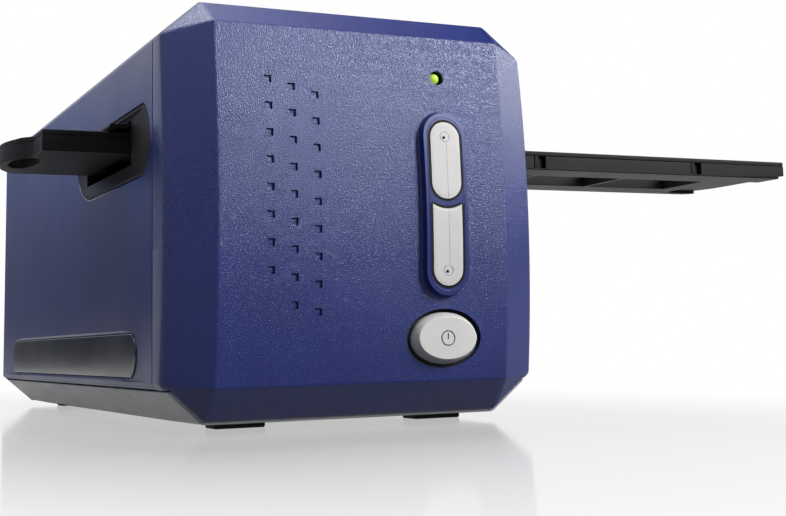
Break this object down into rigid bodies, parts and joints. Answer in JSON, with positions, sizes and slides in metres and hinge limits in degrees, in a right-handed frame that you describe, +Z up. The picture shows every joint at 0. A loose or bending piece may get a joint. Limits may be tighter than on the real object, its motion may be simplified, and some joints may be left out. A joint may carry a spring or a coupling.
{
  "type": "film negative scanner",
  "caption": "Desktop scanner for film negatives: eight-sided casing with front keys, a strip holder that slides through it from side to side, and a driven scan head inside.",
  "frame": {"origin": "on the surface that the feet stand on, midway between the casing's sides and midway between its front and rear", "axes": "+X to the right as seen from the front, +Y from the front to the rear, +Z up"},
  "size_m": [0.2865, 0.2705, 0.121],
  "materials": {
    "casing_blue": "satin, fine even grain",
    "front_blue": "satin with a coarser leather grain on the face",
    "casing_silver": "silver paint, satin",
    "key_silver": "silver lacquer, satin",
    "black_plastic": "matt black",
    "gloss_black": "polished black",
    "foot_rubber": "matt black rubber",
    "steel": "bright steel",
    "chassis_metal": "plain die cast",
    "bearing_bronze": "sintered bronze",
    "nut_plastic": "natural plastic",
    "board_green": "lacquered circuit board",
    "lens_green": "clear green light pipe",
    "diffuser_white": "opal plastic",
    "mirror_glass": "front-coated mirror",
    "lens_black": "black anodised",
    "ribbon_white": "flat flexible cable"
  },
  "bodies": {
    "root": {"front_panel": "front_blue", "key_surround": "casing_blue", "upper_key_spring": "steel", "lower_key_spring": "steel", "power_button_ring": "black_plastic", "power_button_spring": "steel", "status_lens": "lens_green", "button_board": "board_green", "button_switches": "black_plastic", "top_cover": "casing_blue", "base_shell": "casing_silver", "rear_panel": "casing_blue", "left_slot_frame": "black_plastic", "right_slot_frame": "black_plastic", "left_side_pad": "gloss_black", "right_side_pad": "gloss_black", "rubber_feet": "foot_rubber", "case_screws": "steel", "chassis_screws": "steel", "chassis": "chassis_metal", "film_guide_lower": "black_plastic", "film_guide_upper": "black_plastic", "guide_screws": "steel", "detent_spring": "steel", "guide_rod": "steel", "slide_rail": "steel", "screw_bearing": "bearing_bronze", "stepper_motor": "steel", "motor_bracket": "steel", "motor_screws": "steel", "home_sensor": "black_plastic", "main_board": "board_green", "board_screws": "steel", "usb_socket": "steel", "dc_jack": "black_plastic", "sensor_ribbon": "ribbon_white"},
    "film_holder": {"holder_base": "black_plastic", "holder_lid": "black_plastic", "holder_hinge_pins": "steel"},
    "upper_key": {"upper_scan_key": "key_silver"},
    "lower_key": {"lower_scan_key": "key_silver"},
    "power_key": {"power_button": "key_silver"},
    "left_door": {"left_dust_door": "black_plastic"},
    "right_door": {"right_dust_door": "black_plastic"},
    "scan_head": {"optics_carriage": "black_plastic", "carriage_bushings": "bearing_bronze", "lamp_arm": "black_plastic", "arm_screws": "steel", "lamp_board": "board_green", "lamp_diffuser": "diffuser_white", "fold_mirror": "mirror_glass", "lens_barrel": "lens_black", "sensor_board": "board_green", "drive_nut": "nut_plastic"},
    "drive_screw": {"lead_screw": "steel"}
  },
  "joints": [
    {"name": "holder_slide", "type": "slide", "parent": "root", "child": "film_holder", "axis": [1, 0, 0], "range_m": [-0.152, 0.11]},
    {"name": "upper_key_press", "type": "slide", "parent": "root", "child": "upper_key", "axis": [0, 1, 0], "range_m": [0, 0.0008], "stiffness_N_per_m": 500, "deforming": ["upper_key_spring"]},
    {"name": "lower_key_press", "type": "slide", "parent": "root", "child": "lower_key", "axis": [0, 1, 0], "range_m": [0, 0.0008], "stiffness_N_per_m": 500, "deforming": ["lower_key_spring"]},
    {"name": "power_press", "type": "slide", "parent": "root", "child": "power_key", "axis": [0, 1, 0], "range_m": [0, 0.0008], "stiffness_N_per_m": 500, "deforming": ["power_button_spring"]},
    {"name": "left_door_hinge", "type": "hinge", "parent": "root", "child": "left_door", "pos_m": [-0.0495, 0, 0.0906], "axis": [0, 1, 0], "range_deg": [0, 3]},
    {"name": "right_door_hinge", "type": "hinge", "parent": "root", "child": "right_door", "pos_m": [0.0495, 0, 0.0906], "axis": [0, 1, 0], "range_deg": [0, 3]},
    {"name": "scan_head_slide", "type": "slide", "parent": "root", "child": "scan_head", "axis": [0, 1, 0], "range_m": [-0.03, 0]},
    {"name": "drive_screw_spin", "type": "hinge", "parent": "root", "child": "drive_screw", "pos_m": [0, 0, 0.029], "axis": [0, 1, 0], "range_deg": [-1350, 0]}
  ],
  "couplings": [
    {"joint": "drive_screw_spin", "follows": "scan_head_slide", "rad_per_m": 785.4}
  ]
}
